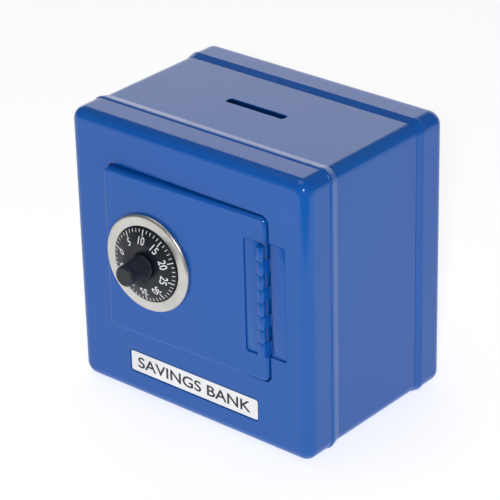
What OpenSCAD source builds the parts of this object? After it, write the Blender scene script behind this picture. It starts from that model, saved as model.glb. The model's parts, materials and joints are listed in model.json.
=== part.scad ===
// Toy safe coin bank: a pressed steel case with a coin slot and a hinged
// combination door. Three D-shaped discs behind the door catch on the left jamb.
// Origin: middle of the base. +X is the hinge side, the door faces -Y, +Z is up.

/* [Case] */
// Width of the end caps
case_w = 150; // [146:1:170]
// Height of the end caps
case_h = 150; // [146:1:170]
// Depth, front face to back face
case_d = 107; // [90:1:130]
// Steel sheet thickness
sheet = 0.8; // [0.6:0.1:1.0]
// Corner radius of both end caps, seen from the front
cap_corner = 7; // [6.5:0.5:10]
// Radius of the pressed edge round the front and the back face
cap_edge = 6; // [4:0.5:6]
// Depth of the front cap, face to rim
front_cap_d = 19; // [16:0.5:26]
// Depth of the rear cap, back face to rim
rear_cap_d = 17.5; // [16:0.5:26]
// How far the bead at each rim stands out
bead = 0.5; // [0.3:0.1:0.7]
// Length of the sloping lip from each rim down to the body wrap
joggle = 4.5; // [3:0.5:6]

/* [Coin slot] */
// Slot length, side to side
slot_l = 36.5; // [30:0.5:44]
// Slot width, front to back
slot_w = 4.6; // [4.4:0.1:6]

/* [Door] */
// Door width
door_w = 100.4; // [99:0.2:101]
// Door height
door_h = 87.6; // [87:0.2:90]
// Door corner radius
door_corner = 3.5; // [3:0.5:5]
// Depth of the door, face to the end of its folded flange
door_depth = 7; // [6:0.5:7]
// How far the closed door stands out of the front face
door_proud = 1.6; // [1.6:0.1:1.8]
// Gap between door and opening, all round
door_gap = 0.9; // [0.9:0.1:1.2]
// How far the door stands open at rest, in degrees
door_ajar = 1.91; // [0:0.01:2]

/* [Hinge] */
// Length of the hinge
hinge_h = 58.4; // [52:0.8:60]
// Number of knuckles, shared between the two leaves
knuckles = 8; // [6:2:10]

/* [Dial] */
// Outer radius of the steel dial ring
ring_r = 25.8; // [25:0.1:26.5]
// Height of the dial ring above the door
ring_h = 2.4; // [2:0.2:3]
// Radius of the black dial
dial_r = 19.7; // [19:0.1:20]
// How far the dial's middle stands in front of the ring
dial_rise = 3.2; // [2.6:0.2:4]
// Length of the knob in front of the dial
knob_l = 13.8; // [12:0.2:18]

/* [Name plate] */
// Plate width
plate_w = 83.2; // [60:0.2:86]
// Plate height
plate_h = 11.2; // [9:0.2:12]

/* [Hidden] */
$fn = 48;

// Extra length that lets a cutting shape pass right through.
past = 1;

// Fits: a running shaft, and the gap left between pieces that move past each other.
run = 0.05;
gap = 0.3;

// Places on the front: X from the middle, Z from the base the rims stand on.
mid_z = case_h / 2 + bead;
slot_x = -0.5;
slot_depth = case_d / 2 + 1.25;
door_x = 0.9;
door_z = 82.9;
plate_x = 1;
plate_z = 20;
dial_x = -21.3;
dial_z = 82.7;

// Opening in the front face.
opening_w = door_w + 2 * door_gap;
opening_h = door_h + 2 * door_gap;
opening_corner = door_corner + door_gap;
jamb_x = door_x - opening_w / 2;
jamb_depth = 5;
door_left = door_x - door_w / 2;
door_right = door_x + door_w / 2;
door_edge = 1.6;

// Hinge: barrel in front of the face, leaves let into shallow pockets.
barrel_r = 2.1;
leaf_t = 0.5;
pin_r = barrel_r - leaf_t - run;
pin_x = door_right - 1.2;
pin_y = -3.7;
hinge_z = 84.3;
leaf_reach = 11.4;
leaf_margin = 0.45;
leaf_drop = 2.2;
pocket_d = 1;
pocket_low = hinge_z - hinge_h / 2 - leaf_drop;
pocket_h = leaf_drop + hinge_h + leaf_margin;
knuckle_pitch = hinge_h / knuckles;

// Name plate pocket.
plate_t = 0.6;
plate_corner = 1.4;
plate_margin = 0.7;

// Lock depths, measured behind the door's face.
spindle_r = 2.5;
disc_t = 1.2;
disc_pitch = 3;
front_disc_d = 12;
disc_reach = 4;
disc_r = dial_x - door_left + disc_reach;
disc_flat = dial_x - door_left - disc_reach;
dial_front = ring_h + dial_rise;
bridge_back = 23.7;
clip_d = bridge_back + gap;

// The drive pegs: how far out they sit and how far they are turned.
peg_r = 1.2;
inner_peg_at = 12;
outer_peg_at = 17;
inner_peg_turn = 13;
outer_peg_turn = 9.2;

// Knob shape, needed here because its tip sets the overall depth.
knob_tip_r = 5.4;
knob_round = 1.2;
knob_bore = 10;
tip_x = dial_x - pin_x - (knob_tip_r - knob_round);
tip_y = -door_proud - dial_front - knob_l + knob_round - pin_y;
front_reach = knob_round - pin_y - tip_x * sin(door_ajar) - tip_y * cos(door_ajar);
face_y = (front_reach - case_d) / 2;

blue = "#2f5fae";
steel = "#b9bdc2";
zinc = "#a9adb0";
brass = "#c8a04a";
black = "#1b1c1f";

// ---- Shapes used by several pieces ----

// Puts y = 0 on the front face of the case.
module on_front() {
    translate([0, face_y, 0]) children();
}

// As on_front, swung about the hinge pin to where the door stands at rest.
module on_door() {
    on_front()
        translate([pin_x, pin_y, 0])
            rotate([0, 0, door_ajar])
                translate([-pin_x, -pin_y, 0]) children();
}

// Puts the dial's axis on Z: z is then the depth behind the door's face.
module to_dial() {
    translate([dial_x, -door_proud, dial_z])
        rotate([-90, 0, 0]) children();
}

module on_dial() {
    on_door() to_dial() children();
}

// Extrudes an outline drawn in X and Z from depth y0 to depth y1.
module slab(y0, y1) {
    translate([0, y1, 0])
        rotate([90, 0, 0])
            linear_extrude(y1 - y0) children();
}

// Rectangle with round corners, centred.
module round_rect(w, h, r) {
    square([w - 2 * r, h], center = true);
    square([w, h - 2 * r], center = true);
    for (sx = [-1, 1])
        for (sz = [-1, 1])
            translate([sx * (w / 2 - r), sz * (h / 2 - r)]) circle(r);
}

module tube(outer, inner, z0, z1) {
    translate([0, 0, z0])
        difference() {
            cylinder(r = outer, h = z1 - z0);
            translate([0, 0, -past]) cylinder(r = inner, h = z1 - z0 + 2 * past);
        }
}

// Sweeps a profile round a rounded rectangle that lies in X and Z.
// The profile's x runs outward from the outline and its y is depth.
module rim_sweep(w, h, r) {
    for (side = [0, 1])
        mirror([side, 0, 0])
            translate([w / 2, 0, r - h / 2])
                linear_extrude(h - 2 * r) children();
    for (side = [0, 1])
        mirror([0, 0, side])
            translate([w / 2 - r, 0, h / 2])
                rotate([0, -90, 0])
                    linear_extrude(w - 2 * r) children();
    for (quarter = [0:3])
        corner_at(quarter, w / 2 - r, h / 2 - r)
            rotate([-90, 0, 0])
                rotate_extrude(angle = 90)
                    translate([r, 0]) children();
}

// Turns a lower right corner piece round to one of the four corners.
module corner_at(quarter, cx, cz) {
    sx = quarter == 0 || quarter == 3 ? 1 : -1;
    sz = quarter < 2 ? -1 : 1;
    translate([sx * cx, 0, sz * cz])
        rotate([0, 90 * quarter, 0]) children();
}

// Quarter-round edge of a pressed tray, then its wall down to the given depth.
module pressed_edge(r, depth) {
    difference() {
        translate([-r, r]) circle(r);
        translate([-r, r]) circle(r - sheet);
        translate([-2 * r - past, -past]) square([r + past, 2 * r + 2 * past]);
        translate([-r - past, r]) square([r + 2 * past, r + past]);
    }
    translate([-sheet, r]) square([sheet, depth - r]);
}

// Section through a cap's wall: edge, wall, bead and sloping lip.
module cap_wall_section(depth) {
    crest = 1;
    lip_end = 0.15;
    pressed_edge(cap_edge, depth);
    translate([0, depth - crest]) circle(bead);
    translate([-sheet, depth - crest]) square([sheet + bead, crest]);
    polygon([
        [-sheet, depth], [bead, depth],
        [lip_end - sheet, depth + joggle], [-sheet, depth + joggle]
    ]);
}

module cap_shell(depth) {
    rim_sweep(case_w, case_h, cap_corner) cap_wall_section(depth);
    slab(0, sheet)
        round_rect(case_w - 2 * cap_edge, case_h - 2 * cap_edge, cap_corner - cap_edge);
}

// ---- Case ----

module body_wrap() {
    wrap_w = case_w - 2 * sheet;
    wrap_h = case_h - 2 * sheet;
    wrap_corner = cap_corner - sheet;
    end_gap = cap_edge + 2;
    color(blue)
    on_front()
    difference() {
        translate([0, 0, mid_z])
            slab(end_gap, case_d - end_gap)
                difference() {
                    round_rect(wrap_w, wrap_h, wrap_corner);
                    round_rect(wrap_w - 2 * sheet, wrap_h - 2 * sheet, wrap_corner - sheet);
                }
        translate([slot_x, slot_depth, mid_z])
            linear_extrude(case_h)
                round_rect(slot_l, slot_w, 1.4);
    }
}

module front_cap() {
    pocket_left = jamb_x + opening_w;
    pocket_w = pin_x + leaf_reach + leaf_margin - pocket_left;
    tray_w = plate_w + 2 * plate_margin;
    tray_h = plate_h + 2 * plate_margin;
    tray_corner = plate_corner + plate_margin;
    plate_floor = plate_t + 0.2;
    color(blue)
    on_front()
    difference() {
        union() {
            translate([0, 0, mid_z]) cap_shell(front_cap_d);
            translate([door_x, 0, door_z])
                rim_sweep(opening_w, opening_h, opening_corner) square([sheet, jamb_depth]);
            translate([pocket_left + sheet / 2, 0, pocket_low - sheet])
                cube([pocket_w + sheet / 2, pocket_d + sheet, pocket_h + 2 * sheet]);
            translate([plate_x, 0, plate_z])
                slab(0, plate_floor + sheet)
                    square([tray_w + 2 * sheet, tray_h + 2 * sheet], center = true);
        }
        translate([door_x, 0, door_z])
            slab(-past, jamb_depth + past)
                round_rect(opening_w, opening_h, opening_corner);
        translate([pocket_left - past, -past, pocket_low])
            cube([pocket_w + past, pocket_d + past, pocket_h]);
        translate([plate_x, 0, plate_z])
            slab(-past, plate_floor)
                round_rect(tray_w, tray_h, tray_corner);
    }
}

module rear_cap() {
    color(blue)
    translate([0, face_y + case_d, mid_z])
        mirror([0, 1, 0]) cap_shell(rear_cap_d);
}

// Angle strip behind the left jamb: the lock discs catch behind its rear edge.
module strike_plate() {
    strip_t = 1.2;
    strip_w = 6;
    strip_h = 65;
    strip_rear = 6;
    color(zinc)
    on_front()
    translate([jamb_x - sheet, sheet, dial_z - strip_h / 2]) {
        translate([-strip_w, 0, 0]) cube([strip_w, strip_t, strip_h]);
        translate([-strip_t, 0, 0]) cube([strip_t, strip_rear - sheet, strip_h]);
    }
}

// Two angle tabs on the left jamb that the closed door's flange rests near.
module door_stops() {
    tab_h = 3.8;
    tab_reach = 2.6;
    from_middle = 38.2;
    tab_front = door_depth - door_proud + gap;
    color(zinc)
    on_front()
    for (end = [-1, 1])
        translate([jamb_x - 2 * sheet, 0, door_z + end * from_middle - tab_h / 2]) {
            translate([0, sheet + past, 0]) cube([sheet, tab_front - past, tab_h]);
            translate([0, tab_front, 0]) cube([2 * sheet + tab_reach, sheet, tab_h]);
        }
}

module name_plate() {
    color("#d9dadc")
    on_front()
        translate([plate_x, 0.2, plate_z])
            slab(0, plate_t) round_rect(plate_w, plate_h, plate_corner);
}

// A hinge leaf drawn for the right side: every other knuckle rolled round the
// pin, and a plate whose rear face lies at the depth plate_rear.
module leaf(plate_rear, first, bore) {
    bottom = hinge_z - hinge_h / 2;
    clear = barrel_r + 0.4;
    difference() {
        union() {
            for (k = [first:2:knuckles - 1])
                translate([0, pin_y, bottom + k * knuckle_pitch + gap / 2]) {
                    cylinder(r = barrel_r, h = knuckle_pitch - gap);
                    translate([barrel_r - leaf_t, 0, 0])
                        cube([leaf_t, plate_rear - pin_y, knuckle_pitch - gap]);
                    translate([barrel_r - leaf_t, plate_rear - pin_y - leaf_t, 0])
                        cube([clear - barrel_r + 2 * leaf_t, leaf_t, knuckle_pitch - gap]);
                }
            translate([clear, plate_rear - leaf_t, bottom])
                cube([leaf_reach - clear, leaf_t, hinge_h]);
        }
        translate([0, pin_y, bottom - past]) cylinder(r = bore, h = hinge_h + 2 * past);
    }
}

module frame_leaf() {
    color(blue)
    on_front()
        translate([pin_x, 0, 0]) leaf(pocket_d, 0, pin_r);
}

module hinge_pin() {
    color(steel)
    on_front()
        translate([pin_x, pin_y, hinge_z - hinge_h / 2]) cylinder(r = pin_r, h = hinge_h);
}

// ---- Door ----

module door_panel() {
    pocket_left = pin_x - leaf_reach - leaf_margin;
    color(blue)
    on_door()
    difference() {
        union() {
            translate([door_x, -door_proud, door_z]) {
                rim_sweep(door_w, door_h, door_corner) pressed_edge(door_edge, door_depth);
                slab(0, sheet)
                    round_rect(door_w - 2 * door_edge, door_h - 2 * door_edge,
                        door_corner - door_edge);
            }
            translate([pocket_left - sheet, -door_proud, pocket_low - sheet])
                cube([door_right - pocket_left + sheet / 2, pocket_d + sheet, pocket_h + 2 * sheet]);
        }
        translate([pocket_left, -door_proud - past, pocket_low])
            cube([door_w, pocket_d + past, pocket_h]);
        to_dial() {
            translate([0, 0, -past]) cylinder(r = bush_r(), h = 2 * past + sheet);
            ring_studs() translate([0, 0, -past]) cylinder(r = stud_r() + run, h = 2 * past + sheet);
        }
    }
}

function bush_r() = spindle_r + 0.9;
function stud_r() = 1.2;

// Repeats its children at the ring's three studs.
module ring_studs() {
    for (k = [0:2])
        rotate([0, 0, 120 * k + 30])
            translate([(ring_r + dial_r) / 2, 0, 0]) children();
}

module door_leaf() {
    color(blue)
    on_door()
        translate([pin_x, 0, 0])
            mirror([1, 0, 0]) leaf(pocket_d - door_proud, 1, pin_r + run);
}

// Steel ring on three studs peened over behind the door sheet.
module dial_ring() {
    ring_hole = dial_r + 0.3;
    edge = 0.6;
    color(steel)
    on_dial() {
        tube(ring_r - edge, ring_hole, -ring_h, 0);
        tube(ring_r, ring_hole, edge - ring_h, 0);
        translate([0, 0, edge - ring_h])
            rotate_extrude()
                translate([ring_r - edge, 0]) circle(edge);
        ring_studs() {
            translate([0, 0, -past]) cylinder(r = stud_r(), h = past + 2 * sheet);
            translate([0, 0, sheet]) cylinder(r = stud_r() + 0.8, h = sheet);
        }
    }
}

module spindle_bush() {
    collar = 0.4;
    color(brass)
    on_dial() {
        tube(bush_r(), spindle_r + run, -collar, 2);
        tube(bush_r() + 1.2, spindle_r + run, -collar, 0);
        tube(bush_r() + 2.2, spindle_r + run, sheet, 2);
    }
}

// Strap over the discs: two legs, feet welded to the door, and a rear bearing.
module lock_bridge() {
    strap_t = 1.2;
    strap_w = 14;
    leg_at = disc_r + 3.5;
    foot_l = 8;
    color(zinc)
    on_dial()
    difference() {
        union() {
            for (end = [0, 1])
                mirror([0, end, 0]) {
                    translate([-strap_w / 2, leg_at, sheet])
                        cube([strap_w, strap_t, bridge_back - sheet]);
                    translate([-strap_w / 2, leg_at - foot_l, sheet])
                        cube([strap_w, foot_l + strap_t, strap_t]);
                }
            translate([-strap_w / 2, -leg_at, bridge_back - strap_t])
                cube([strap_w, 2 * leg_at, strap_t]);
        }
        cylinder(r = spindle_r + run, h = bridge_back + past);
    }
}

// ---- Dial and drive ----

// Shallow cone: marks and numbers sit on its slope, the knob on its flat middle.
module dial_disc() {
    middle_r = 12.2;
    edge_front = ring_h + 0.5;
    edge_t = 1.6;
    hub_end = 0.8;
    color(black)
    on_dial()
        rotate_extrude()
            polygon([
                [spindle_r, -dial_front], [middle_r, -dial_front], [dial_r, -edge_front],
                [dial_r, edge_t - edge_front], [middle_r, edge_t + 0.4 - dial_front],
                [spindle_r + 2.5, edge_t + 0.4 - dial_front], [spindle_r + 2.5, -hub_end],
                [spindle_r, -hub_end]
            ]);
}

// Tapered pull knob on a low round foot, bored for the spindle.
module dial_knob() {
    foot_r = 6.6;
    foot_h = 0.8;
    base_r = 6;
    color(black)
    on_dial()
    translate([0, 0, -dial_front])
        mirror([0, 0, 1])
            difference() {
                rotate_extrude()
                    union() {
                        square([foot_r, foot_h]);
                        polygon([
                            [0, 0], [base_r, 0], [base_r, foot_h],
                            [knob_tip_r, knob_l - knob_round], [0, knob_l - knob_round]
                        ]);
                        square([knob_tip_r - knob_round, knob_l]);
                        intersection() {
                            translate([knob_tip_r - knob_round, knob_l - knob_round])
                                circle(knob_round);
                            square([knob_tip_r, knob_l]);
                        }
                    }
                translate([0, 0, -past]) cylinder(r = spindle_r, h = knob_bore + past);
            }
}

module lock_spindle() {
    inside_knob = dial_front + knob_bore;
    groove_r = spindle_r - 0.5;
    after_clip = 2.2;
    color(steel)
    on_dial() {
        translate([0, 0, -inside_knob]) cylinder(r = spindle_r, h = inside_knob + clip_d);
        cylinder(r = groove_r, h = clip_d + sheet + after_clip);
        translate([0, 0, clip_d + sheet]) cylinder(r = spindle_r, h = after_clip);
    }
}

// Cone washer that drags on the bush so the dial stays where it is turned.
module spring_washer() {
    front = 2 + gap;
    rear = 5;
    t = 0.6;
    color(steel)
    on_dial()
        rotate_extrude()
            polygon([
                [spindle_r, rear - t], [spindle_r, rear],
                [spindle_r + 1, rear], [spindle_r + 4, front + t],
                [spindle_r + 4, front], [spindle_r + 1, rear - t]
            ]);
}

// A disc with one flat side; k counts the discs from the front.
module lock_disc(k, bore) {
    translate([0, 0, front_disc_d + k * disc_pitch])
        difference() {
            cylinder(r = disc_r, h = disc_t);
            translate([-disc_flat - disc_r, -disc_r, -past])
                cube([disc_r, 2 * disc_r, disc_t + 2 * past]);
            translate([0, 0, -past]) cylinder(r = bore, h = disc_t + 2 * past);
        }
}

// Peg standing forward or rearward of disc k, just short of the next disc.
module drive_peg(k, at, turn, to) {
    length = disc_pitch - disc_t - gap;
    seat = 0.6;
    start = front_disc_d + k * disc_pitch + (to > 0 ? disc_t - seat : -length);
    rotate([0, 0, turn])
        translate([at, 0, start]) cylinder(r = peg_r, h = length + seat);
}

module front_lock_disc() {
    color(zinc)
    on_dial() {
        lock_disc(0, spindle_r);
        tube(spindle_r + 2.5, spindle_r, 5, front_disc_d + disc_t / 2);
        drive_peg(0, inner_peg_at, 0, 1);
    }
}

module middle_lock_disc() {
    color(zinc)
    on_dial() {
        lock_disc(1, spindle_r + run);
        drive_peg(1, inner_peg_at, inner_peg_turn, -1);
        drive_peg(1, outer_peg_at, 120, 1);
    }
}

module rear_lock_disc() {
    color(zinc)
    on_dial() {
        lock_disc(2, spindle_r + run);
        drive_peg(2, outer_peg_at, 120 + outer_peg_turn, -1);
    }
}

// Washers fixed on the spindle that keep the discs apart.
module disc_spacers() {
    last_end = bridge_back - disc_t - gap;
    color(brass)
    on_dial()
        for (k = [0:2]) {
            start = front_disc_d + k * disc_pitch + disc_t + (k > 0 ? gap : 0);
            end = k < 2 ? front_disc_d + (k + 1) * disc_pitch - gap : last_end;
            tube(spindle_r + 2, spindle_r, start, end);
        }
}

module retaining_clip() {
    mouth = 1.8;
    color(steel)
    on_dial()
        difference() {
            tube(spindle_r + 2.4, spindle_r - 0.5, clip_d, clip_d + sheet);
            translate([0, -mouth / 2, clip_d - past])
                cube([spindle_r + 3, mouth, sheet + 2 * past]);
        }
}

body_wrap();
front_cap();
rear_cap();
strike_plate();
door_stops();
name_plate();
frame_leaf();
hinge_pin();
door_panel();
door_leaf();
dial_ring();
spindle_bush();
lock_bridge();
dial_disc();
dial_knob();
lock_spindle();
spring_washer();
front_lock_disc();
disc_spacers();
retaining_clip();
middle_lock_disc();
rear_lock_disc();
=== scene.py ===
import bpy, bmesh, json
from math import pi, radians, degrees, sin, cos, atan2
from mathutils import Matrix, Vector


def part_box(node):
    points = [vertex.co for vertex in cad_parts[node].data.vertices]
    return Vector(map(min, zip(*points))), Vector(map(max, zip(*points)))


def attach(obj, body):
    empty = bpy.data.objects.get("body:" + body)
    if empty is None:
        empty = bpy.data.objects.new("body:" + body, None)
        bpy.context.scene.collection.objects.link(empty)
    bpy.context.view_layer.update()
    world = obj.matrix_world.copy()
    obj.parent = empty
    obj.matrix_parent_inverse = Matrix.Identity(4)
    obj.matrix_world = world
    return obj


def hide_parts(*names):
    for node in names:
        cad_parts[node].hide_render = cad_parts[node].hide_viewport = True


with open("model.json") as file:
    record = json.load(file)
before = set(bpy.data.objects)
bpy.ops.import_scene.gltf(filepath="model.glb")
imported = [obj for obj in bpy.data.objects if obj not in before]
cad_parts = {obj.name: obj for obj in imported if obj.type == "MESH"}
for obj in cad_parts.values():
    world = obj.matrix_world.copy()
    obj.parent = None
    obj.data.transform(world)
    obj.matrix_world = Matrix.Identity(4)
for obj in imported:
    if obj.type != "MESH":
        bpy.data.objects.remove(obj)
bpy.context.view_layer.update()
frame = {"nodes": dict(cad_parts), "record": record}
mm = 0.001
collection = bpy.context.scene.collection

# the sizes below are in millimetres: x from the middle, depth from the front
# face, z from the ground; toRow turns them into the frame's metres
case = {"w": 150, "h": 150, "d": 107, "midZ": 75.5, "corner": 7, "edge": 6, "sheet": 0.8,
        "frontRim": 19, "rearRim": 17.5, "bead": 0.5, "lip": 4.5}
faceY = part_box("front_cap")[0][1]
hinge = {"x": 49.9, "depth": -3.7, "z": 84.3, "length": 58.4, "low": 52.9, "high": 113.95,
         "margin": 0.45, "pocketR": 1.3, "floor": 1, "knuckles": 8, "r": 2.1, "leaf": 0.5,
         "reach": 11.4, "gap": 0.3, "ajar": radians(1.91)}
door = {"x": 0.9, "z": 82.9, "w": 100.4, "h": 87.6, "corner": 3.5, "edge": 1.6,
        "depth": 7, "proud": 1.6, "gap": 0.9}
dial = {"x": -21.3, "z": 82.7, "ringR": 25.8, "ringH": 2.4, "discR": 19.7, "front": 5.6,
        "edgeFront": 2.9, "middleR": 12.2}

toRow = Matrix.Translation((0, faceY, 0)) @ Matrix.Scale(mm, 4)
pinPlace = Matrix.Translation((hinge["x"], hinge["depth"], 0))
doorSwing = toRow @ pinPlace @ Matrix.Rotation(hinge["ajar"], 4, "Z") @ pinPlace.inverted()
# on the dial z runs out of the door, x to the right and y up
dialPlace = doorSwing @ Matrix.Translation((dial["x"], -door["proud"], dial["z"])) @ Matrix.Rotation(pi / 2, 4, "X")


# ---- meshes ----

# puts a mesh in its place, on its body, with its slot and its material
def finishPiece(name, bm, place, body, nodes, finish, smooth=True, sharp=None):
    bmesh.ops.remove_doubles(bm, verts=bm.verts, dist=1e-4)
    bmesh.ops.recalc_face_normals(bm, faces=bm.faces)
    if sharp:
        for edge in bm.edges:
            edge.smooth = len(edge.link_faces) != 2 or degrees(edge.calc_face_angle()) < sharp
    mesh = bpy.data.meshes.new(name)
    bm.to_mesh(mesh)
    bm.free()
    mesh.transform(place)
    mesh.materials.append(finish)
    for face in mesh.polygons:
        face.use_smooth = smooth
    piece = bpy.data.objects.new(name, mesh)
    collection.objects.link(piece)
    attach(piece, body)
    if nodes:
        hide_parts(*nodes)
    return piece


def outline(bm, w, h, r, depth, x=0, z=0, steps=10):
    verts = []
    for k, (sx, sz) in enumerate([(1, 1), (-1, 1), (-1, -1), (1, -1)]):
        for j in range(steps + 1):
            angle = (k + j / steps) * pi / 2
            across, up = sx * (w / 2 - r) + r * cos(angle), sz * (h / 2 - r) + r * sin(angle)
            verts.append(bm.verts.new((x + across, depth, z + up)))
    return bm.faces.new(verts)


def roundedBlock(w, h, r, d0, d1, x=0, z=0, steps=10):
    bm = bmesh.new()
    face = outline(bm, w, h, r, d0, x, z, steps)
    grown = bmesh.ops.extrude_face_region(bm, geom=[face])["geom"]
    bmesh.ops.translate(bm, vec=(0, d1 - d0, 0), verts=[v for v in grown if isinstance(v, bmesh.types.BMVert)])
    bmesh.ops.recalc_face_normals(bm, faces=bm.faces)
    return bm


# takes an open profile of (outward, depth) points once round a rounded
# rectangle: straight runs are extruded and corners are spun
def sweptShell(profile, w, h, r, steps=14):
    bm = bmesh.new()
    verts = [bm.verts.new((w / 2 + p[0], p[1], -(h / 2 - r))) for p in profile]
    geom = [bm.edges.new(pair) for pair in zip(verts, verts[1:])]
    runs = [((0, 0, h - 2 * r), (w / 2 - r, h / 2 - r)), ((-(w - 2 * r), 0, 0), (-(w / 2 - r), h / 2 - r)),
            ((0, 0, -(h - 2 * r)), (-(w / 2 - r), -(h / 2 - r))), ((w - 2 * r, 0, 0), (w / 2 - r, -(h / 2 - r)))]
    for run, centre in runs:
        out = bmesh.ops.extrude_edge_only(bm, edges=geom)["geom"]
        bmesh.ops.translate(bm, vec=run, verts=[v for v in out if isinstance(v, bmesh.types.BMVert)])
        geom = [e for e in out if isinstance(e, bmesh.types.BMEdge)]
        spun = bmesh.ops.spin(bm, geom=geom, cent=(centre[0], 0, centre[1]), axis=(0, -1, 0), dvec=(0, 0, 0),
                              angle=pi / 2, steps=steps, use_duplicate=False)["geom_last"]
        geom = [e for e in spun if isinstance(e, bmesh.types.BMEdge)]
    bmesh.ops.remove_doubles(bm, verts=bm.verts, dist=2e-3)
    bmesh.ops.holes_fill(bm, edges=[e for e in bm.edges if e.is_boundary], sides=0)
    bmesh.ops.recalc_face_normals(bm, faces=bm.faces)
    return bm


def arc(cx, cy, r, a0, a1, steps):
    return [(cx + r * cos(radians(a0 + (a1 - a0) * k / steps)), cy + r * sin(radians(a0 + (a1 - a0) * k / steps)))
            for k in range(steps + 1)]


def moved(bm, x, z):
    bmesh.ops.translate(bm, vec=(x, 0, z), verts=bm.verts)
    return bm


def addBox(bm, x0, x1, d0, d1, z0, z1):
    made = bmesh.ops.create_cube(bm, size=1)["verts"]
    bmesh.ops.scale(bm, vec=(x1 - x0, d1 - d0, z1 - z0), verts=made)
    bmesh.ops.translate(bm, vec=((x0 + x1) / 2, (d0 + d1) / 2, (z0 + z1) / 2), verts=made)
    return made


def boxBlock(*sides):
    bm = bmesh.new()
    addBox(bm, *sides)
    return bm


def asObject(bm):
    mesh = bpy.data.meshes.new("tool")
    bm.to_mesh(mesh)
    bm.free()
    tool = bpy.data.objects.new("tool", mesh)
    collection.objects.link(tool)
    return tool


# joins and cuts with boolean modifiers, then keeps only the result
def combined(bm, joins=(), cuts=()):
    base = asObject(bm)
    tools = []
    for operation, group in (("UNION", joins), ("DIFFERENCE", cuts)):
        for part in group:
            tool = asObject(part)
            tools.append(tool)
            change = base.modifiers.new(operation, "BOOLEAN")
            change.operation, change.solver, change.object = operation, "EXACT", tool
    bpy.context.view_layer.update()
    shaped = bpy.data.meshes.new_from_object(base.evaluated_get(bpy.context.evaluated_depsgraph_get()))
    out = bmesh.new()
    out.from_mesh(shaped)
    bpy.data.meshes.remove(shaped)
    for tool in tools + [base]:
        mesh = tool.data
        bpy.data.objects.remove(tool)
        bpy.data.meshes.remove(mesh)
    return out


def softEdges(piece, width, segments=3):
    bevel = piece.modifiers.new("edges", "BEVEL")
    bevel.width, bevel.segments, bevel.limit_method, bevel.angle_limit = width * mm, segments, "ANGLE", radians(35)
    bevel.use_clamp_overlap = True
    normals = piece.modifiers.new("normals", "WEIGHTED_NORMAL")
    normals.keep_sharp = True
    return piece


def lathe(profile, steps=96):
    bm = bmesh.new()
    verts = [bm.verts.new((p[0], 0, p[1])) for p in profile]
    edges = [bm.edges.new(pair) for pair in zip(verts, verts[1:])]
    bmesh.ops.spin(bm, geom=edges, cent=(0, 0, 0), axis=(0, 0, 1), dvec=(0, 0, 0),
                   angle=2 * pi, steps=steps, use_merge=True)
    bmesh.ops.remove_doubles(bm, verts=bm.verts, dist=1e-4)
    return bm


# ---- case ----

def edgeProfile(r, sheet, steps=8):
    outer = arc(-r, r, r, -90, 0, steps)
    inner = arc(-r, r, r - sheet, 0, -90, steps)
    return outer, inner


def capProfile(depth):
    outer, inner = edgeProfile(case["edge"], case["sheet"])
    bead, crest = case["bead"], 1
    shoulder = arc(0, depth - crest, bead, -90, 0, 5)
    ramp = [(bead, depth - 0.05), (bead - 0.06, depth + 0.25), (bead - 0.2, depth + 0.75),
            (-case["sheet"] + 0.42, depth + case["lip"] - 1.1), (-case["sheet"] + 0.15, depth + case["lip"])]
    return outer + [(0, depth - crest - bead - 0.3)] + shoulder + ramp + [(-case["sheet"], depth + case["lip"])] + inner


def buildCase():
    openW, openH = door["w"] + 2 * door["gap"], door["h"] + 2 * door["gap"]
    openR, s = door["corner"] + door["gap"], case["sheet"]
    trayW, trayH = label["w"] + 2 * label["margin"], label["h"] + 2 * label["margin"]
    edgeX = door["x"] + openW / 2
    pocketRight = hinge["x"] + hinge["reach"] + hinge["margin"]
    z0, z1 = hinge["low"], hinge["high"]
    shell = moved(sweptShell(capProfile(case["frontRim"]), case["w"], case["h"], case["corner"]), 0, case["midZ"])
    front = combined(shell,
                     joins=[roundedBlock(openW + 2 * s, openH + 2 * s, openR + s, 0.3, 5, door["x"], door["z"]),
                            boxBlock(edgeX + 0.3, pocketRight + s, 0.35, 1 + s, z0 - s, z1 + s),
                            roundedBlock(trayW + 2 * s, trayH + 2 * s, 2.9, 0.35, 1.6, label["x"], label["z"])],
                     cuts=[roundedBlock(openW, openH, openR, -1, 7, door["x"], door["z"]),
                           roundedBlock(pocketRight - edgeX + 4, z1 - z0, hinge["pocketR"], -1, hinge["floor"],
                                        (pocketRight + edgeX) / 2 - 2, (z0 + z1) / 2, 5),
                           roundedBlock(trayW, trayH, 2.1, -1, 0.8, label["x"], label["z"])])
    softEdges(finishPiece("frontCap", front, toRow, "case", ["front_cap"], paint), 0.28)

    shell = moved(sweptShell(capProfile(case["rearRim"]), case["w"], case["h"], case["corner"]), 0, case["midZ"])
    bmesh.ops.scale(shell, vec=(1, -1, 1), verts=shell.verts)
    bmesh.ops.translate(shell, vec=(0, case["d"], 0), verts=shell.verts)
    softEdges(finishPiece("rearCap", shell, toRow, "case", ["rear_cap"], paint), 0.12)

    slot = {"x": -0.5, "depth": 54.75, "l": 36.5, "w": 4.6, "r": 1.4}
    w, h, r = case["w"] - 2 * s, case["h"] - 2 * s, case["corner"] - s
    tube = roundedBlock(w, h, r, 8, case["d"] - 8, 0, case["midZ"], 14)
    cutter = roundedBlock(slot["l"], slot["w"], slot["r"], -8, 8, steps=6)
    bmesh.ops.rotate(cutter, matrix=Matrix.Rotation(pi / 2, 3, "X"), cent=(0, 0, 0), verts=cutter.verts)
    bmesh.ops.translate(cutter, vec=(slot["x"], slot["depth"], case["h"]), verts=cutter.verts)
    inside = roundedBlock(w - 2 * s, h - 2 * s, r - s, 6, case["d"] - 6, 0, case["midZ"], 14)
    wrap = combined(tube, cuts=[inside, cutter])
    softEdges(finishPiece("bodyWrap", wrap, toRow, "case", ["body_wrap"], paint), 0.3)
    print("case built")


# ---- door ----

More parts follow.
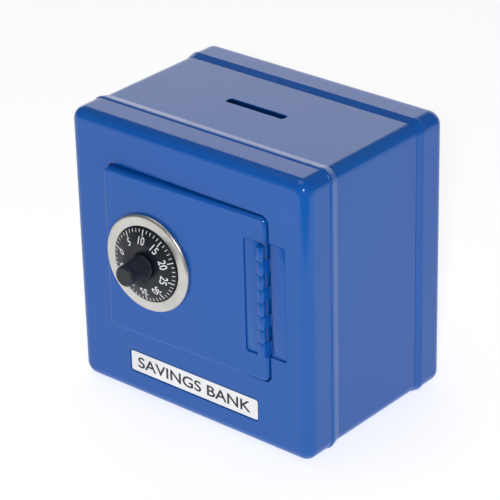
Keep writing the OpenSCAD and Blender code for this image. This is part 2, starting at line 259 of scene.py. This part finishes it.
def buildDoor():
    outer, inner = edgeProfile(door["edge"], case["sheet"], 6)
    profile = outer + [(0, door["depth"]), (-case["sheet"], door["depth"])] + inner
    shell = moved(sweptShell(profile, door["w"], door["h"], door["corner"], 10), door["x"], door["z"])
    left = hinge["x"] - hinge["reach"] - hinge["margin"]
    right = door["x"] + door["w"] / 2
    z0, z1 = hinge["low"], hinge["high"]
    panel = combined(shell, joins=[boxBlock(left - 0.8, right - 0.4, 0.35, 1.8, z0 - 0.8, z1 + 0.8)],
                     cuts=[roundedBlock(right - left + 5, z1 - z0, hinge["pocketR"], -1, hinge["floor"],
                                        (left + right + 5) / 2, (z0 + z1) / 2, 5)])
    bmesh.ops.translate(panel, vec=(0, -door["proud"], 0), verts=panel.verts)
    softEdges(finishPiece("doorPanel", panel, doorSwing, "door", ["door_panel"], paint), 0.25)
    print("door built")


# a strip of sheet with slightly rounded edges, added to bm
def addStrip(bm, x0, x1, d0, d1, z0, z1, rounding=0.1):
    made = addBox(bm, x0, x1, d0, d1, z0, z1)
    edges = list({e for v in made for e in v.link_edges})
    bmesh.ops.bevel(bm, geom=edges, offset=rounding, segments=2, profile=0.5, affect="EDGES", material=-1)


# one leaf drawn to the right of the pin: the plate, and its knuckles with their webs
def leafMeshes(plateRear, first, plateEnd):
    h = hinge
    pitch, bottom = h["length"] / h["knuckles"], h["z"] - h["length"] / 2
    clear, r, rim = h["r"] + 0.4, h["r"], 0.14
    plate, bm = bmesh.new(), bmesh.new()
    addStrip(plate, clear, plateEnd, plateRear - h["leaf"], plateRear, bottom, bottom + h["length"])
    for k in range(first, h["knuckles"], 2):
        low, high = bottom + k * pitch + h["gap"] / 2, bottom + (k + 1) * pitch - h["gap"] / 2
        # the outer knuckles hide the ends of the pin
        low -= 0.2 if k == 0 else 0
        high += 0.2 if k == h["knuckles"] - 1 else 0
        profile = [(0, low), (r - rim, low), (r - 0.3 * rim, low + 0.3 * rim), (r, low + rim),
                   (r, high - rim), (r - 0.3 * rim, high - 0.3 * rim), (r - rim, high), (0, high)]
        verts = [bm.verts.new((p[0], h["depth"], p[1])) for p in profile]
        edges = [bm.edges.new(pair) for pair in zip(verts, verts[1:])]
        bmesh.ops.spin(bm, geom=edges, cent=(0, h["depth"], 0), axis=(0, 0, 1), dvec=(0, 0, 0),
                       angle=2 * pi, steps=48, use_merge=True)
        addStrip(bm, r - h["leaf"], r - 0.01, h["depth"], plateRear, low, high, 0.06)
        addStrip(bm, r - h["leaf"], clear + 0.5, plateRear - h["leaf"], plateRear - 0.005, low, high, 0.06)
    return plate, bm


def buildHinge():
    caseLeaf = leafMeshes(hinge["floor"], 0, hinge["reach"])
    swungLeaf = leafMeshes(hinge["floor"] - door["proud"], 1, hinge["reach"] + 0.3)
    leaves = [("frameLeaf", caseLeaf, 1, toRow, "case", "frame_leaf"),
              ("doorLeaf", swungLeaf, -1, doorSwing, "door", "door_leaf")]
    for name, (plate, knuckles), side, place, body, node in leaves:
        for bm in (plate, knuckles):
            bmesh.ops.scale(bm, vec=(side, 1, 1), verts=bm.verts)
            bmesh.ops.translate(bm, vec=(hinge["x"], 0, 0), verts=bm.verts)
        finishPiece(name + "Plate", plate, place, body, (), paint, sharp=40)
        rolled = finishPiece(name, knuckles, place, body, [node], paint, sharp=40)
        # keeps the barrel's mirror image out of the glossy leaf beside it
        rolled.visible_glossy = False
    frame["nodes"]["hinge_pin"].visible_glossy = False
    print("hinge built")


# ---- name plate ----

label = {"x": 1, "z": 20, "w": 83.2, "h": 11.2, "margin": 0.7, "words": "SAVINGS BANK", "letter": 8.4}


def textMesh(words, size, extrude, width=None, bold=0):
    curve = bpy.data.curves.new("words", "FONT")
    curve.body, curve.size, curve.extrude = words, size, extrude
    curve.align_x, curve.align_y = "CENTER", "CENTER"
    curve.offset = bold
    temp = bpy.data.objects.new("words", curve)
    collection.objects.link(temp)
    bpy.context.view_layer.update()
    mesh = bpy.data.meshes.new_from_object(temp.evaluated_get(bpy.context.evaluated_depsgraph_get()))
    bpy.data.objects.remove(temp)
    bpy.data.curves.remove(curve)
    bm = bmesh.new()
    bm.from_mesh(mesh)
    bpy.data.meshes.remove(mesh)
    xs, ys = [v.co.x for v in bm.verts], [v.co.y for v in bm.verts]
    bmesh.ops.translate(bm, vec=(-(max(xs) + min(xs)) / 2, -(max(ys) + min(ys)) / 2, 0), verts=bm.verts)
    if width:
        bmesh.ops.scale(bm, vec=(width / (max(xs) - min(xs)), 1, 1), verts=bm.verts)
    return bm


def buildLabel():
    plate = roundedBlock(label["w"], label["h"], 1.4, 0.2, 0.8, label["x"], label["z"])
    softEdges(finishPiece("namePlate", plate, toRow, "case", ["name_plate"], plateMetal), 0.12, 2)
    words = textMesh(label["words"], label["letter"], 0.03, label["w"] - 9, 0.1)
    place = toRow @ Matrix.Translation((label["x"], 0.18, label["z"])) @ Matrix.Rotation(pi / 2, 4, "X")
    finishPiece("namePlateWords", words, place, "case", (), inkBlack, smooth=False)
    print("name plate built")


# ---- dial ----

def buildDial():
    r, h = dial["ringR"], dial["ringH"]
    hole = dial["discR"] + 0.3
    ring = lathe([(hole, 0)] + arc(hole + 0.35, h - 0.35, 0.35, 180, 90, 4) + arc(r - 1.5, h - 1.5, 1.5, 90, 0, 12)
                 + [(r, 0.15), (r - 0.15, 0), (hole, 0)], 128)
    finishPiece("dialRing", ring, dialPlace, "door", ["dial_ring"], ringSteel)

    r, top, low, middle = dial["discR"], dial["front"], dial["edgeFront"], dial["middleR"]
    bore, back = 2.5, top - 2
    disc = lathe([(bore, back), (bore, top), (middle - 0.8, top), (middle - 0.2, top - 0.03), (middle + 0.5, top - 0.2),
                  (r - 0.4, low + 0.12), (r - 0.1, low - 0.02), (r, low - 0.3), (r, low - 1.6),
                  (middle, back), (bore, back)], 128)
    slope = (top - low) / (r - middle)
    tilt = -atan2(top - low, r - middle)
    finishPiece("dialFace", disc, dialPlace, "dial", ["dial_disc"], dialBlack)

    # fifty divisions, a long mark and a number at every fifth
    marks = {"count": 50, "outer": 19.2, "short": 1.7, "long": 3.4, "thin": 0.36, "thick": 0.5,
             "numberAt": 13.7, "size": 5.7, "squeeze": 0.88, "zeroAt": radians(73)}
    ink = bmesh.new()
    for k in range(marks["count"]):
        isLong = k % 5 == 0
        length, width = (marks["long"], marks["thick"]) if isLong else (marks["short"], marks["thin"])
        turn = marks["zeroAt"] - 2 * pi * k / marks["count"]
        made = bmesh.ops.create_cube(ink, size=1)["verts"]
        bmesh.ops.scale(ink, vec=(width, length, 0.08), verts=made)
        at = marks["outer"] - length / 2
        bmesh.ops.rotate(ink, matrix=Matrix.Rotation(tilt, 3, "X"), cent=(0, 0, 0), verts=made)
        bmesh.ops.translate(ink, vec=(0, at, top - slope * (at - middle) + 0.02), verts=made)
        bmesh.ops.rotate(ink, matrix=Matrix.Rotation(turn, 3, "Z"), cent=(0, 0, 0), verts=made)
        if isLong:
            number = textMesh(str(k), marks["size"], 0.04, bold=0.06)
            bmesh.ops.scale(number, vec=(marks["squeeze"], 1, 1), verts=number.verts)
            bmesh.ops.rotate(number, matrix=Matrix.Rotation(tilt, 3, "X"), cent=(0, 0, 0), verts=number.verts)
            at = marks["numberAt"]
            bmesh.ops.translate(number, vec=(0, at, top - slope * (at - middle) + 0.05), verts=number.verts)
            bmesh.ops.rotate(number, matrix=Matrix.Rotation(turn, 3, "Z"), cent=(0, 0, 0), verts=number.verts)
            mesh = bpy.data.meshes.new("number")
            number.to_mesh(mesh)
            number.free()
            ink.from_mesh(mesh)
            bpy.data.meshes.remove(mesh)
    finishPiece("dialMarks", ink, dialPlace, "dial", (), inkWhite, smooth=False)

    knob = {"footR": 6.6, "footH": 0.8, "baseR": 6, "tipR": 5.4, "length": 13.8, "round": 1.2}
    n, t = knob, top
    profile = [(0, t), (n["footR"], t)] + arc(n["footR"] - 0.4, t + n["footH"] - 0.4, 0.4, 0, 90, 4)
    profile += [(n["baseR"] + 0.35, t + n["footH"]), (n["baseR"] + 0.1, t + n["footH"] + 0.15),
                (n["baseR"] - 0.05, t + n["footH"] + 0.6)]
    profile += arc(n["tipR"] - n["round"], t + n["length"] - n["round"], n["round"], 6, 90, 9)
    profile += [(n["tipR"] - 2.4, t + n["length"] - 0.03), (0, t + n["length"] - 0.12)]
    knobPiece = lathe(profile, 96)
    finishPiece("dialKnob", knobPiece, dialPlace, "dial", ["dial_knob"], knobBlack)
    print("dial built")


# ---- materials ----

# a value in a shader: sums and products on it add Math nodes
class Wire:
    def __init__(self, shader, socket):
        self.shader, self.socket = shader, socket

    def math(self, operation, a, b):
        return self.shader.node("ShaderNodeMath", {"operation": operation}, {0: a, 1: b})

    def __add__(self, other):
        return self.math("ADD", self, other)

    def __radd__(self, other):
        return self.math("ADD", other, self)

    def __sub__(self, other):
        return self.math("SUBTRACT", self, other)

    def __rsub__(self, other):
        return self.math("SUBTRACT", other, self)

    def __mul__(self, other):
        return self.math("MULTIPLY", self, other)

    def __rmul__(self, other):
        return self.math("MULTIPLY", other, self)


class Shader:
    def __init__(self, name, **values):
        self.material = bpy.data.materials.new(name)
        self.material.use_nodes = True
        self.tree = self.material.node_tree
        self.principled = self.tree.nodes["Principled BSDF"]
        for key, value in values.items():
            self.principled.inputs[key.replace("_", " ")].default_value = value
        self.place = self.node("ShaderNodeTexCoord", {}, {}, "Object")

    # any node: its settings first, then values or links for its sockets
    def node(self, kind, settings, values, output=0):
        made = self.tree.nodes.new(kind)
        for key, value in settings.items():
            setattr(made, key, value)
        for key, value in values.items():
            if isinstance(value, Wire):
                self.tree.links.new(value.socket, made.inputs[key])
            else:
                made.inputs[key].default_value = value
        return Wire(self, made.outputs[output])

    def noise(self, scale, detail=3, roughness=0.5, stretch=None):
        place = self.place
        if stretch:
            place = self.node("ShaderNodeVectorMath", {"operation": "MULTIPLY"}, {0: place, 1: stretch})
        return self.node("ShaderNodeTexNoise", {},
                         {"Vector": place, "Scale": scale, "Detail": detail, "Roughness": roughness})

    def ramp(self, value, low, high):
        return self.node("ShaderNodeMapRange", {}, {"Value": value, "From Min": low, "From Max": high})

    def mix(self, factor, a, b):
        return self.node("ShaderNodeMix", {"data_type": "RGBA"}, {0: factor, 6: a, 7: b}, 2)

    def bump(self, height, strength, distance):
        return self.node("ShaderNodeBump", {}, {"Height": height, "Strength": strength, "Distance": distance})

    def feed(self, **links):
        for key, wire in links.items():
            self.tree.links.new(wire.socket, self.principled.inputs[key.replace("_", " ")])
        return self.material


def makePaint():
    blue = {"base": (0.002, 0.105, 0.48, 1), "dull": (0.004, 0.113, 0.46, 1), "roughness": 0.16,
            "peel": 260, "speck": 900}
    s = Shader("bluePaint", Roughness=blue["roughness"], IOR=1.46)
    cloud = s.noise(9, 4)
    speck = s.ramp(s.noise(blue["speck"], 2), 0.66, 0.72)
    colour = s.mix(s.ramp(cloud, 0.35, 0.7), blue["base"], blue["dull"])
    peel = s.noise(blue["peel"], 2, 0.4)
    rough = blue["roughness"] + 0.05 * s.ramp(s.noise(24, 5), 0.4, 0.75)
    return s.feed(Base_Color=colour, Roughness=rough, Normal=s.bump(peel + 0.25 * speck, 0.35, 0.00006))


def makeMetal(name, colour, worn, roughness, scratch=(1, 1, 1), strength=0.2, grain=1800):
    s = Shader(name, Metallic=1.0)
    line = s.noise(grain, 3, 0.6, scratch)
    mark = s.ramp(s.noise(40, 4), 0.5, 0.75)
    return s.feed(Base_Color=s.mix(mark * 0.6, colour, worn), Roughness=roughness + 0.12 * line + 0.06 * mark,
                  Normal=s.bump(line, strength, 0.00004))


# rings of fine turning marks about the dial's middle
def makeRingSteel():
    s = Shader("ringSteel", Metallic=1.0)
    centre = dialPlace.translation
    axis = (dialPlace.to_3x3() @ Vector((0, 0, 1))).normalized()
    arm = s.node("ShaderNodeVectorMath", {"operation": "SUBTRACT"}, {0: s.place, 1: tuple(centre)})
    along = s.node("ShaderNodeVectorMath", {"operation": "DOT_PRODUCT"}, {0: arm, 1: tuple(axis)}, "Value")
    length = s.node("ShaderNodeVectorMath", {"operation": "LENGTH"}, {0: arm}, "Value")
    radius = length - 0.2 * along
    lines = s.node("ShaderNodeTexNoise", {"noise_dimensions": "1D"}, {"W": radius, "Scale": 5200, "Detail": 4})
    cloud = s.ramp(s.noise(60, 4), 0.4, 0.8)
    colour = s.mix(cloud, (0.66, 0.645, 0.615, 1), (0.56, 0.545, 0.52, 1))
    return s.feed(Base_Color=colour, Roughness=0.24 + 0.16 * lines + 0.05 * cloud, Normal=s.bump(lines, 0.3, 0.00005))


def makePlastic(name, colour, lighter, roughness, bump=0.25):
    s = Shader(name, IOR=1.44)
    grain = s.noise(1500, 3)
    cloud = s.ramp(s.noise(70, 4), 0.4, 0.75)
    return s.feed(Base_Color=s.mix(cloud, colour, lighter), Roughness=roughness + 0.1 * cloud,
                  Normal=s.bump(grain, bump, 0.00005))


def makeInk(name, colour, worn):
    s = Shader(name)
    wear = s.ramp(s.noise(700, 3), 0.62, 0.8)
    return s.feed(Base_Color=s.mix(wear * 0.5, colour, worn), Roughness=0.45 + 0.15 * wear,
                  Normal=s.bump(s.noise(2500, 2), 0.1, 0.00003))


paint = makePaint()
ringSteel = makeRingSteel()
plateMetal = makeMetal("plateMetal", (0.93, 0.93, 0.93, 1), (0.82, 0.82, 0.83, 1), 0.34, (0.04, 1, 1), 0.25, 2600)
zincPlate = makeMetal("zincPlate", (0.62, 0.63, 0.62, 1), (0.5, 0.5, 0.46, 1), 0.36)
plainSteel = makeMetal("plainSteel", (0.56, 0.57, 0.58, 1), (0.42, 0.42, 0.41, 1), 0.3)
bushBrass = makeMetal("bushBrass", (0.72, 0.52, 0.22, 1), (0.5, 0.35, 0.14, 1), 0.3)
dialBlack = makePlastic("dialBlack", (0.003, 0.007, 0.015, 1), (0.005, 0.01, 0.02, 1), 0.36)
knobBlack = makePlastic("knobBlack", (0.011, 0.016, 0.025, 1), (0.016, 0.022, 0.032, 1), 0.42)
inkWhite = makeInk("inkWhite", (0.86, 0.87, 0.86, 1), (0.45, 0.46, 0.46, 1))
inkBlack = makeInk("inkBlack", (0.015, 0.015, 0.017, 1), (0.1, 0.1, 0.1, 1))

buildCase()
buildDoor()
buildHinge()
buildLabel()
buildDial()

# the CAD pieces that stay as they are
keptFinish = {"zinc_plate": zincPlate, "hinge_steel": plainSteel, "bush_brass": bushBrass, "case_paint": paint,
              "ring_steel": ringSteel, "plate_alu": plateMetal, "dial_black": dialBlack, "knob_black": knobBlack}
for row in frame["record"]["subparts"]:
    node = frame["nodes"][row["node"]]
    node.data.materials.clear()
    node.data.materials.append(keptFinish[row["material_slot"]])
print("materials set")


# ---- floor, light and camera ----

def buildStage():
    bm = bmesh.new()
    bmesh.ops.create_grid(bm, x_segments=1, y_segments=1, size=6)
    mesh = bpy.data.meshes.new("floor")
    bm.to_mesh(mesh)
    bm.free()
    floor = bpy.data.objects.new("floor", mesh)
    collection.objects.link(floor)
    s = Shader("floorWhite", Base_Color=(0.6, 0.6, 0.6, 1), Roughness=0.9,
               Emission_Color=(1, 1, 1, 1), Emission_Strength=0.7)
    s.principled.inputs["Specular IOR Level"].default_value = 0
    mesh.materials.append(s.material)


# a black card on the floor towards the camera: only reflections see it
def buildCard():
    card = {"near": 0.29, "depth": 1.2, "w": 2.4, "azimuth": radians(40.8)}
    bm = bmesh.new()
    bmesh.ops.create_grid(bm, x_segments=1, y_segments=1, size=0.5)
    bmesh.ops.scale(bm, vec=(card["w"], card["depth"], 1), verts=bm.verts)
    bmesh.ops.translate(bm, vec=(0, -card["near"] - card["depth"] / 2, 0.002), verts=bm.verts)
    bmesh.ops.rotate(bm, matrix=Matrix.Rotation(card["azimuth"], 3, "Z"), cent=(0, 0, 0), verts=bm.verts)
    mesh = bpy.data.meshes.new("card")
    bm.to_mesh(mesh)
    bm.free()
    flag = bpy.data.objects.new("card", mesh)
    collection.objects.link(flag)
    flag.visible_camera = flag.visible_diffuse = flag.visible_shadow = False
    mesh.materials.append(Shader("cardBlack", Base_Color=(0.02, 0.02, 0.02, 1), Roughness=0.9).material)


def buildWorld():
    world = bpy.data.worlds.new("studio")
    bpy.context.scene.world = world
    world.use_nodes = True
    tree = world.node_tree
    coords = tree.nodes.new("ShaderNodeTexCoord")
    parts = tree.nodes.new("ShaderNodeSeparateXYZ")
    tree.links.new(coords.outputs["Generated"], parts.inputs[0])
    # bright low down behind the safe, dim overhead and in front
    levels = []
    for axis, low, high, start, end in (("Y", 0.1, 0.5, 0, 0.95), ("Z", 0.5, 0.64, 1, 0), ("X", -0.1, 0.45, 1, 0)):
        level = tree.nodes.new("ShaderNodeMapRange")
        level.interpolation_type = "SMOOTHSTEP"
        tree.links.new(parts.outputs[axis], level.inputs["Value"])
        for socket, value in zip(("From Min", "From Max", "To Min", "To Max"), (low, high, start, end)):
            level.inputs[socket].default_value = value
        levels.append(level.outputs[0])
    both = levels[0]
    for level in levels[1:]:
        product = tree.nodes.new("ShaderNodeMath")
        product.operation = "MULTIPLY"
        tree.links.new(both, product.inputs[0])
        tree.links.new(level, product.inputs[1])
        both = product.outputs[0]
    strength = tree.nodes.new("ShaderNodeMath")
    strength.operation = "MULTIPLY_ADD"
    tree.links.new(both, strength.inputs[0])
    strength.inputs[1].default_value, strength.inputs[2].default_value = 1.4, 0.18
    back = tree.nodes["Background"]
    tree.links.new(strength.outputs[0], back.inputs["Strength"])
    back.inputs["Color"].default_value = (1, 1, 1, 1)


def areaLight(name, place, target, size, power):
    light = bpy.data.lights.new(name, "AREA")
    light.size, light.energy = size, power
    lamp = bpy.data.objects.new(name, light)
    collection.objects.link(lamp)
    lamp.location = place
    lamp.rotation_euler = (Vector(target) - Vector(place)).to_track_quat("-Z", "Y").to_euler()


def buildCamera():
    # azimuth, elevation and roll of the view, and the aim point's offset
    look = {"azimuth": 40.785, "elevation": 26.864, "roll": -1.423, "lens": 177.24,
            "aim": (0, 53.5, 75.5), "offset": (-4.348, -2.226, 1232.683)}
    turn = (Matrix.Rotation(radians(look["azimuth"]), 4, "Z") @ Matrix.Rotation(radians(90 - look["elevation"]), 4, "X")
            @ Matrix.Rotation(radians(look["roll"]), 4, "Z"))
    aim = toRow @ Vector(look["aim"])
    cameraData = bpy.data.cameras.new("camera")
    cameraData.lens, cameraData.sensor_width = look["lens"], 36
    cameraData.clip_end = 20
    camera = bpy.data.objects.new("camera", cameraData)
    collection.objects.link(camera)
    camera.matrix_world = Matrix.Translation(aim + turn @ (Vector(look["offset"]) * mm)) @ turn
    bpy.context.scene.camera = camera


buildStage()
buildCard()
buildWorld()
areaLight("flash", (0.7, -0.86, 0.66), (0, 0, 0.07), 0.07, 5.5)
areaLight("topLight", (-0.3, -0.2, 1.6), (0, 0, 0.07), 0.9, 3)
buildCamera()
bpy.context.scene.view_settings.view_transform = "Standard"
print("stage set")
